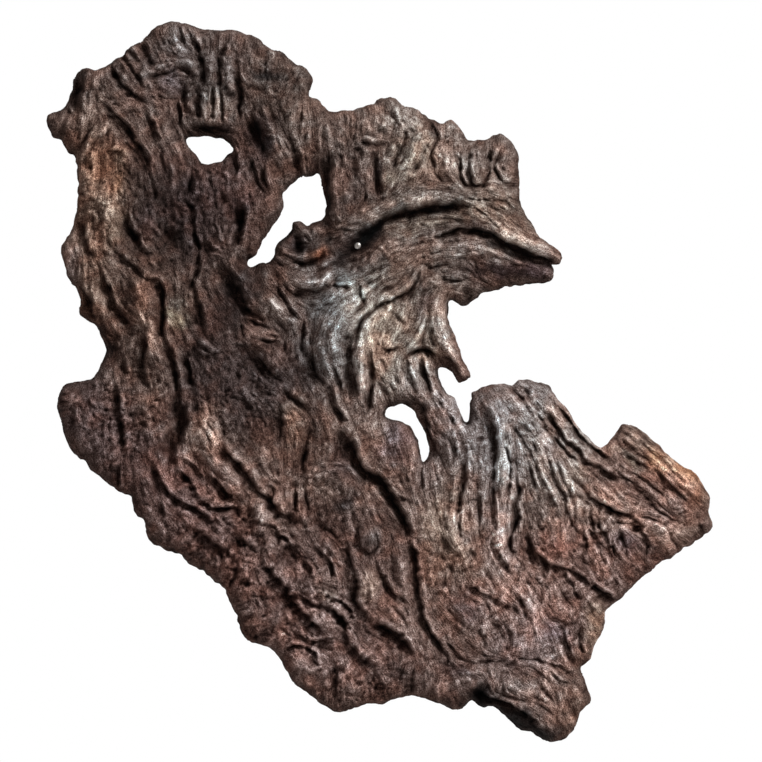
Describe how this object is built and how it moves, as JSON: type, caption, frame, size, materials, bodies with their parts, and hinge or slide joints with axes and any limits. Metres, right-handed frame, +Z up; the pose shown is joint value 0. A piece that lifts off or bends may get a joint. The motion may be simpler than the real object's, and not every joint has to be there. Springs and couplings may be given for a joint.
{
  "type": "burl wall sculpture",
  "caption": "Ragged slab of weathered burl and root wood with deep folds, knots and through holes, flat at the back, held to a wall by a pan-head screw.",
  "frame": {"origin": "on the flat back that lies on the wall, at the middle of the sculpture's width and height", "axes": "+Y out of the back into the wall, so the carved front faces -Y; +Z up along the sculpture's height; +X to the right as seen from the front"},
  "size_m": [0.7991, 0.0763, 0.8645],
  "materials": {
    "weathered_wood": "bare, weathered, cracked and matt",
    "screw_steel": "dull"
  },
  "bodies": {
    "root": {"burl_slab": "weathered_wood", "fixing_screw": "screw_steel"}
  },
  "joints": []
}
